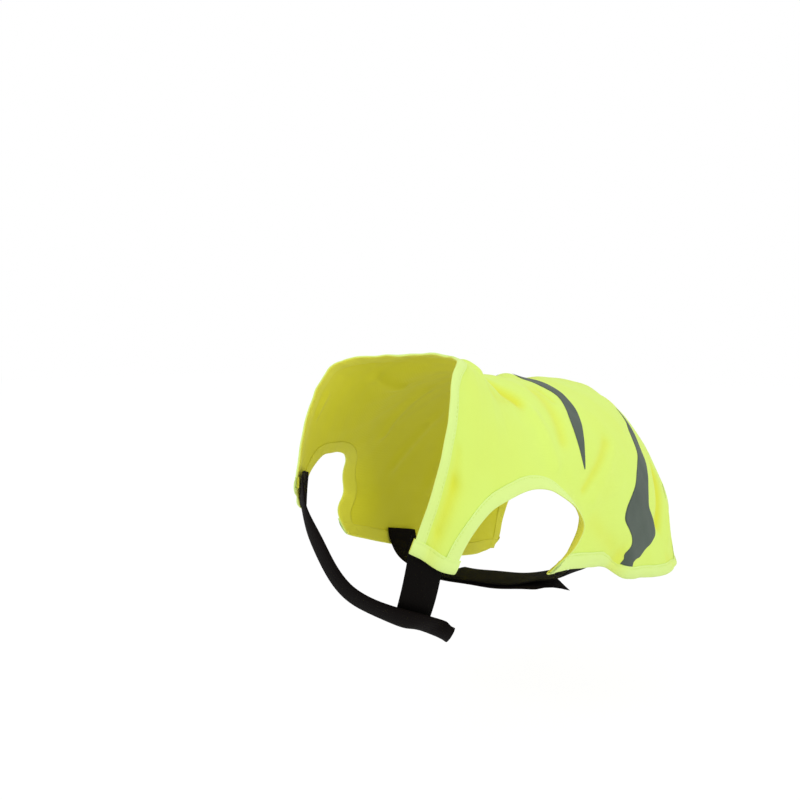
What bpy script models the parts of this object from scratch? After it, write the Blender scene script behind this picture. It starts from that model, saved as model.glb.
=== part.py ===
"""Reflective safety vest for a small dog, in the hollow form it keeps when worn.

Frame: millimetres in the tables, metres in the scene.  The vest faces -Y, the wearer's
left is +X, +Z is up.  The origin is on the inner face of the back panel, at mid-back.

Every piece lies on one general figure, a loft of rounded sections from the neck to the
rump.  A place on it is (section, girth): section counts the rows of SECTIONS, and girth
is the angle round a section in degrees, 0 at the spine and 180 under the belly.
The cut of the vest is a set of edges drawn on that figure for the left side; the right
side mirrors it, worn a little higher at the shoulder.
"""
import bpy
import bmesh
import numpy as np
from mathutils import Vector

MM = 0.001

# Cloth and trimmings, mm
PANEL_WALL = 1.0          # single layer of knitted polyester
BAND_WALL = 2.0           # folded bindings and turned hems
BAND_WIDTH = 10.0
SEAM_GAP = 0.3
FILM_WALL = 0.6           # heat-set reflective film
FILM_GAP = 0.45
STRAP_WALL = 1.5
STRAP_GAP = 0.3
CHEST_STRAP_WIDTH = 25.0
BELLY_STRAP_WIDTH = 40.0

TRACE_STEPS = 160         # steps of a dense path along an edge
ROW_STEPS = 400           # steps of the path that the armhole's cells are marked on
SPINE_STEPS = 60
RUN_ON = 25.0             # mm that an edge is run on past its ends, to meet its neighbours
RUN_ON_STEPS = 12

# Mesh density: cells along and across each kind of piece
NECK_CELLS, SPINE_CELLS, REAR_CELLS = 14, 20, 12
PANEL_CELLS_ACROSS = 14
STRIPE_CELLS = 14
STRAP_CELLS = 14
TAB_CELLS = 5

# The general figure.  Each section is a rounded ring that hangs from the spine.
# spine_y, spine_z: where it crosses the back; lean: its tilt from upright, degrees;
# half_width: at its widest; depth: from the back down to the belly; widest: how far down
# the depth the widest place is; round_above, round_below: 2 is an ellipse, more is squarer.
SECTIONS = np.array([
    # spine_y spine_z lean half_width depth widest round_above round_below
    [-158.0, 18.0, 84.0, 47.0,  96.0, 0.50, 2.00, 2.2],
    [-138.0, 16.5, 62.0, 60.0, 130.0, 0.50, 2.00, 2.2],
    [-116.0,  8.0, 46.0, 70.0, 186.0, 0.48, 2.00, 2.2],
    [ -88.0,  4.5, 32.0, 80.0, 208.0, 0.46, 2.10, 2.4],
    [ -56.0,  1.5, 18.0, 86.0, 184.0, 0.47, 2.10, 2.8],
    [ -15.0,  0.5,  6.0, 88.0, 174.0, 0.49, 2.10, 3.0],
    [  35.0, -1.5,  0.0, 88.0, 180.0, 0.54, 2.00, 3.2],
    [  85.0, -6.5,  0.0, 88.0, 190.0, 0.65, 1.85, 3.2],
    [ 132.0, -17.5, 2.0, 86.0, 192.0, 0.81, 1.70, 2.8],
])
LAST_SECTION = len(SECTIONS) - 1

# Rough size of a step on the figure, for distances between folds and edges
SECTION_STEP = 42.0       # mm a section
GIRTH_STEP = 1.45         # mm a degree

# Edges of the cut, left side.  stand_out: how far the edge gapes from the figure, mm.
NECK_EDGE = np.array([     # from the nape, round and down to the foot of the front tab
    # section girth stand_out
    [ 0.02,   0.0, 1.0],
    [ 0.01,  40.0, 1.0],
    [ 0.01,  68.0, 0.5],
    [ 0.15,  84.5, 0.0],
    [ 0.41,  98.5, 0.0],
    [ 0.72, 108.3, 0.0],
    [ 1.09, 120.0, 0.0],
    [ 1.40, 131.3, 0.0],
    [ 1.66, 142.3, 0.0],
    [1.88, 151.5, 0.0],
])
ARMHOLE_EDGE = np.array([  # up the back of the tab, over the leg, down to the flank
    # section girth stand_out
    [2.32, 140.5,  0.0],
    [2.25, 135.0,  0.0],
    [2.19, 127.0,  0.0],
    [2.19, 115.5,  0.0],
    [2.27, 105.0,  1.0],
    [2.49,  94.0,  2.0],
    [2.79,  86.4,  3.0],
    [3.04,  85.6,  5.0],
    [3.30,  88.9,  9.0],
    [3.44,  92.4, 13.0],
    [3.62,  98.9, 16.0],
    [3.68, 103.4, 16.5],
    [3.64, 108.2, 16.0],
    [3.59, 114.0, 13.0],
    [3.58, 119.8,  7.0],
    [3.61, 124.3,  2.0],
])
TAB_FOOT = np.array([      # foot of the front tab, from the neck edge to the armhole
    # section girth stand_out
    [1.88, 151.5, 0.0],
    [1.97, 148.4, 0.0],
    [2.12, 145.3, 0.0],
    [2.24, 142.7, 0.0],
    [2.32, 140.5, 0.0],
])
FLANK_FOOT = np.array([    # foot of the flank, from the armhole to the rear corner
    # section girth stand_out
    [3.61, 124.3, 0.0],
    [4.08, 124.9, 0.0],
    [4.71, 126.8, 0.0],
    [5.22, 127.9, 0.0],
    [5.41, 128.9, 3.2],
    [5.58, 129.4, 6.4],
    [6.02, 127.2, 7.0],
    [6.57, 121.0, 6.0],
    [7.00, 113.3, 4.5],
    [7.36, 104.6, 2.5],
    [7.62,  98.5, 0.5],
])
REAR_EDGE = np.array([     # from the rear corner up to the spine
    # section girth stand_out
    [7.62,  98.5, 0.5],
    [7.80,  88.0, 1.5],
    [7.87,  77.0, 1.5],
    [7.89,  66.0, 1.0],
    [7.98,  55.0, 0.5],
    [8.03,  46.0, 0.0],
    [7.99,  36.0, 0.0],
    [7.92,  24.0, 0.0],
    [7.90,  12.0, 0.0],
    [7.93,   0.0, 0.0],
])
GAPE_REACH = 16.0          # mm from an edge over which its gape dies away
FLARE_REACH = 20.0         # the same for the armhole, whose edge flares

# Where the armhole's length is split between the neck, the spine and the rear edge
ARMHOLE_AT_NAPE = 0.42
ARMHOLE_AT_RUMP = 0.80
FLANK_BEND = 4            # power by which the panel's rows bend to the line of the foot

# Largest folds: a soft trough (height below 0) or ridge along a line, girth below 0 is
# the right side.  width: from the crest to where it has nearly died away, mm.
FOLDS = np.array([
    # section_a girth_a section_b girth_b height width
    [1.45,  47.0, 2.10,  38.0, -2.0, 12.0],    # hollows behind the collar
    [1.72,  18.0, 2.66,  38.0, -3.4, 11.0],
    [1.35, -48.0, 2.20, -30.0, -3.0, 13.0],
    [4.42,   4.0, 4.78,  -5.0,  3.0, 13.0],    # rise between the shoulder blades
    [4.92,   8.0, 5.70,  -9.0, -3.0, 12.0],    # dip behind it
    [6.80,   0.0, 7.90,   8.0, -2.2, 26.0],    # slope of the rump
    [7.00,  21.0, 7.55,  38.0, -4.4, 17.0],
    [7.76,  22.0, 8.00,  34.0, -5.0, 17.0],
    [7.85,  63.0, 7.90,  84.0, -3.4, 21.0],
    [3.66,  30.0, 3.54,  60.0, -2.5, 13.0],    # trough in front of the front stripe
    [2.90,  45.0, 3.27,  73.0,  2.0, 12.0],    # ridge beside it
    [3.50, -34.0, 3.60, -66.0, -2.5, 14.0],
    [4.89,  66.0, 4.06,  87.0, -2.2, 11.0],    # crease below the front stripe
    [5.00, -56.0, 4.30, -86.0, -2.0, 12.0],
    [1.57, 120.0, 1.76, 131.0, -2.6,  8.0],    # fold down the front tab
    [1.22, -98.0, 1.42, -110.0, -2.0, 8.0],
    [6.95,  60.0, 6.64,  93.0, -3.4, 11.0],    # fold behind the rear stripe
    [7.00, -58.0, 6.75, -98.0, -2.2, 12.0],
    [5.38, 121.0, 5.26, 132.0, -1.8, 12.0],    # where the flank leaves the belly strap
    [5.50, -110.0, 5.25, -132.0, -2.8, 11.0],
])

FOLD_SPREAD = 0.6          # share of a fold's width at which a third of its height is left

# The right shoulder is worn higher: its front is turned up by this much at the tab
ASKEW_GIRTH = 16.0         # degrees up
ASKEW_SECTION = 0.30       # sections forward
ASKEW_FROM, ASKEW_TO = 4.8, 2.2    # sections over which the turn grows
ASKEW_FULL_GIRTH = 120.0   # degrees from the spine where the turn is full

# Tapered tiger stripes of film, a row for each girth
FRONT_STRIPE = np.array([
    # girth section_front section_rear
    [ 7.0, 4.46, 4.62],
    [16.0, 4.31, 4.63],
    [27.0, 4.25, 4.62],
    [39.0, 4.24, 4.54],
    [50.0, 4.02, 4.43],
    [58.0, 3.96, 4.28],
    [68.0, 3.98, 4.14],
    [76.5, 4.04, 4.08],
])
REAR_STRIPE = np.array([
    # girth section_front section_rear
    [ 35.0, 6.41, 6.45],
    [ 41.0, 6.37, 6.48],
    [ 54.0, 6.11, 6.44],
    [ 64.0, 6.04, 6.40],
    [ 76.0, 5.81, 6.26],
    [ 87.0, 5.62, 6.20],
    [ 92.0, 5.51, 6.24],
    [ 97.0, 5.40, 6.47],
    [104.0, 5.34, 6.43],
    [109.0, 5.54, 6.26],
    [113.5, 5.61, 6.08],
    [118.5, 5.52, 5.90],
    [124.0, 5.44, 5.70],
])

# Routes of the straps' centre lines.  lift: height of the strap's middle above the figure;
# tilt: how far it leans from the figure, + when the edge on the left of its run is raised.
STRAP_UNDER = -(BAND_WALL - PANEL_WALL) / 2 - STRAP_GAP - STRAP_WALL / 2
STRAP_OVER = STRAP_WALL + STRAP_GAP
CHEST_STRAP_LEFT = np.array([
    # section girth lift tilt
    [1.88, 141.5, STRAP_UNDER - 1.2, 0.0],
    [2.08, 147.5, STRAP_UNDER - 1.2, 0.0],
    [2.28, 153.5, STRAP_UNDER - 1.7, 0.0],
    [2.48, 159.5, STRAP_UNDER - 2.8, 0.0],
    [2.60, 163.0, STRAP_UNDER - 3.5, 0.0],
])
CHEST_STRAP_RIGHT = np.array([
    # section girth lift tilt
    [1.87, -118.5, STRAP_UNDER - 0.6, 0.0],
    [1.60, -137.0, STRAP_UNDER - 1.0, 0.0],
    [1.66, -146.0, -2.8, 7.0],
    [1.83, -163.2, -3.4, 11.0],
    [2.17, -177.5, -3.3, 14.3],
    [2.40, -190.5, -2.6, 13.1],
    [2.64, -199.4, -0.8, 16.5],
    [2.83, -203.1,  2.3, 17.8],
    [2.86, -204.6,  6.7, 15.6],
])
BELLY_STRAP_LEFT = np.array([
    # section girth lift tilt
    [4.57, 117.0, STRAP_UNDER - 0.2, 0.0],
    [4.57, 121.0, STRAP_UNDER - 0.3, 0.0],
    [4.57, 125.5, STRAP_UNDER - 1.3, 0.0],
    [4.57, 132.0,  -5.6, 0.0],
    [4.57, 140.0, -15.8, 0.0],
    [4.57, 150.0, -19.4, 0.0],
    [4.57, 165.0, -20.2, 0.0],
    [4.57, 185.0, -20.0, 0.0],
    [4.57, 200.0, -18.8, 0.0],
])
BELLY_STRAP_RIGHT = np.array([
    # section girth lift tilt
    [4.57, -117.0, STRAP_UNDER - 0.2, 0.0],
    [4.57, -121.0, STRAP_UNDER - 0.3, 0.0],
    [4.57, -125.5, STRAP_UNDER - 1.3, 0.0],
    [4.57, -132.0,  -5.8, 0.0],
    [4.57, -140.0, -11.6, 0.0],
    [4.57, -152.0, -15.2, 0.0],
    [4.56, -170.0, -17.6, 0.0],
    [4.55, -190.0, -17.8, 0.0],
    [4.54, -205.0, -17.2, 0.0],
    [4.52, -213.0, -15.2, 0.0],
    [4.50, -218.5, -12.4, 0.0],
])

COLOURS = {               # base colour, roughness
    "fluorescent_polyester": ((0.70, 0.90, 0.16), 0.75),
    "fluorescent_binding": ((0.71, 0.91, 0.27), 0.70),
    "reflective_film": ((0.13, 0.16, 0.13), 0.45),
    "black_hook_and_loop": ((0.008, 0.007, 0.006), 0.85),
}


# ---------------------------------------------------------------- curves and figure
def spline(knots, rows, at):
    """Natural cubic spline through rows, one for each knot."""
    knots = np.asarray(knots, float)
    count = len(knots)
    step = np.diff(knots)
    matrix = np.eye(count)
    slopes = np.zeros_like(rows)
    for i in range(1, count - 1):
        matrix[i, i - 1:i + 2] = step[i - 1], 2 * (step[i - 1] + step[i]), step[i]
        slopes[i] = 6 * ((rows[i + 1] - rows[i]) / step[i] - (rows[i] - rows[i - 1]) / step[i - 1])
    bend = np.linalg.solve(matrix, slopes)
    at = np.asarray(at, float)
    k = np.clip(np.searchsorted(knots, at, side="right") - 1, 0, count - 2)
    width = step[k][..., None]
    a = (knots[k + 1] - at)[..., None] / width
    b = 1 - a
    curve = (a ** 3 - a) * bend[k] + (b ** 3 - b) * bend[k + 1]
    return a * rows[k] + b * rows[k + 1] + curve * width ** 2 / 6


def figure(section, girth):
    """Point of the general figure, mm."""
    section, girth = np.broadcast_arrays(np.asarray(section, float), np.asarray(girth, float))
    row = spline(np.arange(LAST_SECTION + 1), SECTIONS, section)
    spine_y, spine_z, lean, half_width, depth, widest, above, below = np.moveaxis(row, -1, 0)
    angle, lean = np.radians(girth), np.radians(lean)
    across, up = np.sin(angle), np.cos(angle)
    power = np.where(up >= 0, above, below)
    reach = depth * np.where(up >= 0, widest, 1 - widest)
    radius = (np.abs(across / half_width) ** power + np.abs(up / reach) ** power) ** (-1 / power)
    drop = depth * widest - radius * up
    return np.stack([radius * across, spine_y - drop * np.sin(lean), spine_z - drop * np.cos(lean)], -1)


def axes(section, girth):
    """Steps of the figure along a section and along the girth, and its outward normal."""
    small = 1e-3
    along = (figure(section + small, girth) - figure(section - small, girth)) / (2 * small)
    round_ = (figure(section, girth + small) - figure(section, girth - small)) / (2 * small)
    normal = np.cross(along, round_)
    return along, round_, -normal / np.linalg.norm(normal, axis=-1, keepdims=True)


def trace(table, steps=TRACE_STEPS):
    """Dense smooth path through a table's rows, all its columns."""
    leap = np.hypot(np.diff(table[:, 0]) * SECTION_STEP, np.diff(table[:, 1]) * GIRTH_STEP)
    knots = np.concatenate([[0.0], np.cumsum(leap)])
    return spline(knots, table, np.linspace(0, knots[-1], steps + 1))


def walk(path, steps):
    """The same path in a number of equal steps on the figure."""
    points = figure(path[:, 0], path[:, 1])
    far = np.concatenate([[0.0], np.cumsum(np.linalg.norm(np.diff(points, axis=0), axis=1))])
    at = np.linspace(0, far[-1], steps + 1)
    return np.stack([np.interp(at, far, column) for column in path.T], -1)


def shift(path, distance):
    """The path moved sideways on the figure by a distance in mm or a row of them, + to its left."""
    along, round_, normal = axes(path[:, 0], path[:, 1])
    run = np.gradient(figure(path[:, 0], path[:, 1]), axis=0)
    side = np.cross(normal, run)
    side *= np.reshape(distance, (-1, 1)) / np.linalg.norm(side, axis=1, keepdims=True)
    moved = path.copy()
    for i in range(len(path)):
        basis = np.stack([along[i], round_[i]], -1)
        moved[i, :2] += np.linalg.lstsq(basis, side[i], rcond=None)[0]
    return moved


def extend(path):
    """The path run on straight past both ends."""
    ends = []
    for tip, inner in ((path[0], path[3]), (path[-1], path[-4])):
        gap = np.linalg.norm(figure(*tip[:2]) - figure(*inner[:2]))
        ends.append(tip + (tip - inner) * (RUN_ON / gap) * np.linspace(0, 1, RUN_ON_STEPS + 1)[1:, None])
    return np.concatenate([ends[0][::-1], path, ends[1]])


def crossing(path, line):
    """Index, with its fraction, at which a path first crosses a line."""
    a, b = path[:-1, None, :2], np.diff(path[:, :2], axis=0)[:, None]
    c, d = line[None, :-1, :2], np.diff(line[:, :2], axis=0)[None]
    cross = b[..., 0] * d[..., 1] - b[..., 1] * d[..., 0]
    cross = np.where(np.abs(cross) < 1e-12, 1e-12, cross)
    gap = c - a
    on_path = (gap[..., 0] * d[..., 1] - gap[..., 1] * d[..., 0]) / cross
    on_line = (gap[..., 0] * b[..., 1] - gap[..., 1] * b[..., 0]) / cross
    hit = (on_path >= 0) & (on_path <= 1) & (on_line >= 0) & (on_line <= 1)
    rows, columns = np.nonzero(hit)
    return rows[0] + on_path[rows[0], columns[0]]


def clip(path, start_line, stop_line):
    """The stretch of a path between two lines that cross it."""
    path = extend(path)
    first = crossing(path, start_line)
    last = len(path) - 1 - crossing(path[::-1], stop_line)
    inner = np.arange(int(first) + 1, int(np.ceil(last)))
    at = np.concatenate([[first], inner, [last]])
    return np.stack([np.interp(at, np.arange(len(path)), column) for column in path.T], -1)


# ---------------------------------------------------------------- relief of the cloth
def distance_to_segment(place, start, stop):
    """Distance in mm from places on the figure to the straight line between two others."""
    step = np.array([SECTION_STEP, GIRTH_STEP])
    place, start, stop = place * step, start * step, stop * step
    run = stop - start
    part = np.clip(((place - start) @ run) / (run @ run), 0, 1)
    return np.linalg.norm(place - start - part[..., None] * run, axis=-1)


def folds(section, girth):
    """Height of the large folds at a place."""
    place = np.stack([section, girth], -1)
    height = np.zeros(np.shape(section))
    for row in FOLDS:
        away = distance_to_segment(place, row[0:2], row[2:4])
        height = height + row[4] * np.exp(-(away / (FOLD_SPREAD * row[5])) ** 2)
    return height


GAPING_EDGES = [trace(table, TRACE_STEPS // 2) for table in (NECK_EDGE, FLANK_FOOT)]
FLARED_EDGE = trace(ARMHOLE_EDGE, TRACE_STEPS // 2)


def stand_out(edge, section, girth):
    """The stand-out of the nearest point of an edge, and how far off that point is."""
    step = np.array([SECTION_STEP, GIRTH_STEP])
    place = np.stack([section, np.abs(girth)], -1)[..., None, :] * step
    start, run = edge[:-1, :2] * step, np.diff(edge[:, :2], axis=0) * step
    part = np.clip(((place - start) * run).sum(-1) / (run * run).sum(-1), 0, 1)
    away = np.linalg.norm(place - start - part[..., None] * run, axis=-1)
    near = np.argmin(away, axis=-1)[..., None]
    part, away = (np.take_along_axis(block, near, -1)[..., 0] for block in (part, away))
    near = near[..., 0]
    return edge[near, 2] + part * (edge[near + 1, 2] - edge[near, 2]), away


def gape(section, girth):
    """How far the cloth stands away from the figure near its free edges.
    Most edges hang straight down from it, and the armhole's flares."""
    out, away = stand_out(FLARED_EDGE, section, girth)
    height = out * np.clip(1 - away / FLARE_REACH, 0, 1) ** 2
    for edge in GAPING_EDGES:
        out, away = stand_out(edge, section, girth)
        height = height + out * np.exp(-(away / GAPE_REACH) ** 2)
    return height


def soft_step(value):
    """0 below 0, 1 above 1, smooth between."""
    value = np.clip(value, 0, 1)
    return value * value * (3 - 2 * value)


def worn(place, side):
    """Where a place of the cut lies on the wearer; girth is + on the left, - on the right."""
    section, girth = place[..., 0], place[..., 1]
    if side > 0:
        return section, girth
    turned = soft_step((ASKEW_FROM - section) / (ASKEW_FROM - ASKEW_TO))
    turned = turned * soft_step(girth / ASKEW_FULL_GIRTH)
    return section - ASKEW_SECTION * turned, -(girth - ASKEW_GIRTH * turned)


def cloth(place, lift, side):
    """Points of the worn vest, mm, at places of the cut, lifted outwards by lift."""
    section, girth = worn(place, side)
    height = lift + folds(place[..., 0], side * place[..., 1]) + gape(place[..., 0], place[..., 1])
    return figure(section, girth) + axes(section, girth)[2] * height[..., None]


# ---------------------------------------------------------------- the cut
LEFT, RIGHT = 1, -1
SPINE_LINE = np.array([[-2.0, 0.0], [LAST_SECTION + 1.0, 0.0]])
NECK, TAB, FLANK, REAR = (
    trace(table)[:, :2] for table in (NECK_EDGE, TAB_FOOT, FLANK_FOOT, REAR_EDGE))
ARMHOLE = trace(ARMHOLE_EDGE)
FLARE_STEPS = 60
INNER_EDGE = BAND_WIDTH + SEAM_GAP    # where the panel starts, from an edge of the cut


def under_flare(distance, edge):
    """How far from an edge on the figure the places lie that are a distance away on the
    flared cloth."""
    nudge = (shift(edge, 1.0) - edge)[:, :2] * (SECTION_STEP, GIRTH_STEP)
    reach = FLARE_REACH / np.linalg.norm(nudge, axis=1)
    part = np.linspace(0, 1, FLARE_STEPS + 1)
    slope = 2 * (edge[:, 2] / reach)[:, None] * (1 - part)
    step = np.sqrt(1 + slope ** 2) * reach[:, None] * part[1]
    on_cloth = np.cumsum(step, axis=1) - step / 2 - step[:, :1] / 2
    return np.array([np.interp(distance, row, part) for row in on_cloth]) * reach


def inset(edge, distance):
    """An edge of the cut moved into the cloth, run on past both ends."""
    if edge.shape[1] > 2:
        distance = under_flare(distance, edge)
        edge = edge[:, :2]
    return extend(shift(edge, distance))


def ruled(first, second, across):
    """Grid of places between two rows of the same length."""
    part = np.linspace(0, 1, across + 1)[None, :, None]
    return first[:, None] * (1 - part) + second[:, None] * part


def outer_rows(distance):
    """Three stretches round the outside of the panel: neck, spine and rear."""
    tab_line, flank_line = inset(TAB, INNER_EDGE), inset(FLANK, INNER_EDGE)
    neck = walk(clip(inset(NECK, distance), SPINE_LINE, tab_line), NECK_CELLS)[::-1]
    rear = walk(clip(inset(REAR, distance), flank_line, SPINE_LINE), REAR_CELLS)[::-1]
    neck[-1, 1] = rear[0, 1] = 0.0
    spine = walk(np.linspace(neck[-1], rear[0], SPINE_STEPS), SPINE_CELLS)
    return neck, spine, rear


def armhole_row(distance):
    """Round the armhole at a distance from its edge, in step with the outer rows."""
    tab_line, flank_line = inset(TAB, INNER_EDGE), inset(FLANK, INNER_EDGE)
    path = walk(clip(inset(ARMHOLE, distance), tab_line, flank_line), ROW_STEPS)
    marks = np.concatenate([
        np.linspace(0, ARMHOLE_AT_NAPE, NECK_CELLS + 1)[:-1],
        np.linspace(ARMHOLE_AT_NAPE, ARMHOLE_AT_RUMP, SPINE_CELLS + 1)[:-1],
        np.linspace(ARMHOLE_AT_RUMP, 1, REAR_CELLS + 1)])
    at = np.linspace(0, 1, ROW_STEPS + 1)
    return np.stack([np.interp(marks, at, column) for column in path.T], -1)


def panel_grid():
    """Left half of the back panel, from the armhole out to the neck, spine and rear."""
    inner = armhole_row(INNER_EDGE)
    neck, spine, rear = outer_rows(INNER_EDGE)
    outer = np.concatenate([neck, spine[1:], rear[1:]])
    grid = ruled(inner, outer, PANEL_CELLS_ACROSS)
    flank = clip(inset(FLANK, INNER_EDGE), inset(ARMHOLE, INNER_EDGE), inset(REAR, INNER_EDGE))
    bow = walk(flank, PANEL_CELLS_ACROSS) - grid[-1]
    part = np.linspace(0, 1, len(grid))[:, None, None]
    return grid + part ** FLANK_BEND * bow


def band_grids(rows_at):
    """A binding's places, from its free edge to its seam."""
    return ruled(rows_at(0.0), rows_at(BAND_WIDTH), 1)


def hem_row(foot, distance, edges, cells):
    """Across a foot from edge to edge, in step with the panel between the bands."""
    line = inset(foot, distance)
    ends = clip(line, *(inset(edge, 0.0) for edge in edges))
    middle = walk(clip(line, *(inset(edge, INNER_EDGE) for edge in edges)), cells)
    return np.concatenate([ends[:1], middle, ends[-1:]])


def hem_grid(foot, edges, cells):
    """A turned hem across the foot of a piece, over the ends of the bands."""
    return ruled(hem_row(foot, 0.0, edges, cells), hem_row(foot, BAND_WIDTH, edges, cells), 1)


def facets(grid):
    """The triangles that a grid of points is sewn from, two to a cell."""
    for low, high in zip(grid, grid[1:]):
        for j in range(len(low) - 1):
            yield low[j], high[j], high[j + 1]
            yield low[j], high[j + 1], low[j + 1]


def stripe_outline(table):
    """A stripe's outline in places of the cut: down its front edge, back up its rear edge."""
    rows = spline(table[:, 0], table, np.linspace(table[0, 0], table[-1, 0], STRIPE_CELLS + 1))
    return np.concatenate([rows[:, [1, 0]], rows[::-1, [2, 0]]])


def cut_to_triangle(outline, corners):
    """The part of an outline that lies in a triangle, or an empty list."""
    turn = np.sign(np.linalg.det([corners[1] - corners[0], corners[2] - corners[0]]))
    kept = list(outline)
    for start, stop in zip(corners, np.roll(corners, -1, axis=0)):
        side = [turn * np.linalg.det([stop - start, point - start]) for point in kept]
        clipped = []
        for i, (point, here) in enumerate(zip(kept, side)):
            before, there = kept[i - 1], side[i - 1]
            if (here >= 0) != (there >= 0):
                clipped.append(before + (point - before) * there / (there - here))
            if here >= 0:
                clipped.append(point)
        kept = clipped
    return kept


def stripe_faces(table, places, points):
    """A stripe cut from a panel's own facets: polygons of points, each on one facet."""
    outline = stripe_outline(table)
    low, high = outline.min(0), outline.max(0)
    faces = []
    for corners, ends in zip(facets(places), facets(points)):
        corners = np.array(corners)
        if (corners.max(0) < low).any() or (corners.min(0) > high).any():
            continue
        piece = cut_to_triangle(outline, corners)
        if len(piece) > 2:
            weights = np.linalg.solve(np.vstack([corners.T, np.ones(3)]),
                                      np.vstack([np.transpose(piece), np.ones(len(piece))]))
            face = weights.T @ np.array(ends)
            fan = face[1:] - face[0]
            if np.linalg.norm(np.cross(fan[:-1], fan[1:]).sum(0)) / 2 > SLIVER:
                faces.append(face)
    return faces


def strap_points(table, width):
    """Points of a flat strap along its route on the figure."""
    route = walk(trace(table), STRAP_CELLS)
    edges = []
    for reach in (width / 2, 0.0, -width / 2):
        section, girth, lift, tilt = shift(route, reach).T
        rise = lift + reach * np.sin(np.radians(tilt))
        edges.append(figure(section, girth) + axes(section, girth)[2] * rise[:, None])
    return np.stack(edges, 1)


# ---------------------------------------------------------------- meshes
MIDDLE = Vector((0.0, 0.0, -90.0)) * MM    # inside the hollow, for telling in from out
WELD = 0.02 * MM                           # points closer than this are one
FILM_WELD = 0.25 * MM                      # the same in a stripe, where a cut leaves slivers
SLIVER = 0.8                               # mm2, a piece of a cut facet smaller than this is left out


def material(name):
    """Principled material of one object, in its cloth's colour."""
    colour, roughness = COLOURS[name]
    mat = bpy.data.materials.new(name)
    mat.use_nodes = True
    shader = mat.node_tree.nodes["Principled BSDF"]
    shader.inputs["Base Color"].default_value = (*colour, 1.0)
    shader.inputs["Roughness"].default_value = roughness
    return mat


def sew(name, faces, wall, finish, weld=WELD):
    """One cloth piece: mid-surface faces joined where they meet, given a wall."""
    shape = bmesh.new()
    for face in faces:
        shape.faces.new([shape.verts.new(point * MM) for point in face])
    bmesh.ops.remove_doubles(shape, verts=shape.verts, dist=weld)
    bmesh.ops.recalc_face_normals(shape, faces=shape.faces)
    outward = sum(face.normal.dot(face.calc_center_median() - MIDDLE) for face in shape.faces)
    if outward < 0:
        bmesh.ops.reverse_faces(shape, faces=shape.faces)
    mesh = bpy.data.meshes.new(name)
    shape.to_mesh(mesh)
    shape.free()
    mesh.shade_smooth()
    mesh.materials.append(material(finish))
    piece = bpy.data.objects.new(name, mesh)
    collection.objects.link(piece)
    solidify = piece.modifiers.new("wall", "SOLIDIFY")
    solidify.thickness = wall * MM
    solidify.offset = 0.0
    solidify.use_even_offset = weld == WELD


def sew_grids(name, grids, wall, finish):
    """One cloth piece from grids of points."""
    sew(name, [facet for grid in grids for facet in facets(grid)], wall, finish)


# ---- build
for old in list(bpy.data.objects):
    bpy.data.objects.remove(old)
collection = bpy.data.collections.new("reflective_dog_vest")
bpy.context.scene.collection.children.link(collection)

SIDES = ((LEFT, "left"), (RIGHT, "right"))
PANEL_LIFT = PANEL_WALL / 2
FILM_LIFT = PANEL_WALL + FILM_GAP + FILM_WALL / 2

panel = panel_grid()
sew_grids("back_panel", [cloth(panel, PANEL_LIFT, side) for side, _ in SIDES], PANEL_WALL,
          "fluorescent_polyester")

whole_bands = {
    "neck_binding": band_grids(lambda distance: outer_rows(distance)[0]),
    "rear_hem": band_grids(lambda distance: outer_rows(distance)[2]),
}
for name, band in whole_bands.items():
    sew_grids(name, [cloth(band, PANEL_LIFT, side) for side, _ in SIDES], BAND_WALL,
              "fluorescent_binding")

side_bands = {
    "armhole_binding": band_grids(armhole_row),
    "tab_hem": hem_grid(TAB, (NECK, ARMHOLE), TAB_CELLS),
    "flank_hem": hem_grid(FLANK, (ARMHOLE, REAR), PANEL_CELLS_ACROSS),
}
stripes = {"front_stripe": FRONT_STRIPE, "rear_stripe": REAR_STRIPE}
for side, word in SIDES:
    for name, band in side_bands.items():
        sew_grids(f"{name}_{word}", [cloth(band, PANEL_LIFT, side)], BAND_WALL, "fluorescent_binding")
    film = cloth(panel, FILM_LIFT, side)
    for name, table in stripes.items():
        sew(f"{name}_{word}", stripe_faces(table, panel, film), FILM_WALL, "reflective_film",
            weld=FILM_WELD)

straps = {
    "chest_strap_left": (CHEST_STRAP_LEFT, CHEST_STRAP_WIDTH),
    "chest_strap_right": (CHEST_STRAP_RIGHT, CHEST_STRAP_WIDTH),
    "belly_strap_left": (BELLY_STRAP_LEFT, BELLY_STRAP_WIDTH),
    "belly_strap_right": (BELLY_STRAP_RIGHT, BELLY_STRAP_WIDTH),
}
for name, (table, width) in straps.items():
    sew_grids(name, [strap_points(table, width)], STRAP_WALL, "black_hook_and_loop")
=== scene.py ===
"""Reflective safety vest for a small dog: its cloth, trimmings and straps, and a plain studio.

Frame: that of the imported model.  The vest faces -Y, the wearer's left is +X, +Z is up, and
the origin is on the inner face of the back panel, at mid-back.  Tables are in millimetres.

All cloth lies on one general figure, a loft of rounded sections from the neck to the rump.
A place on it is (section, girth): section counts the rows of SECTIONS, and girth is the
angle round a section in degrees, 0 at the spine and 180 under the belly.
The cut is a set of edges on that figure for the left side; the right side mirrors it, worn
a little higher at the shoulder.
"""

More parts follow.
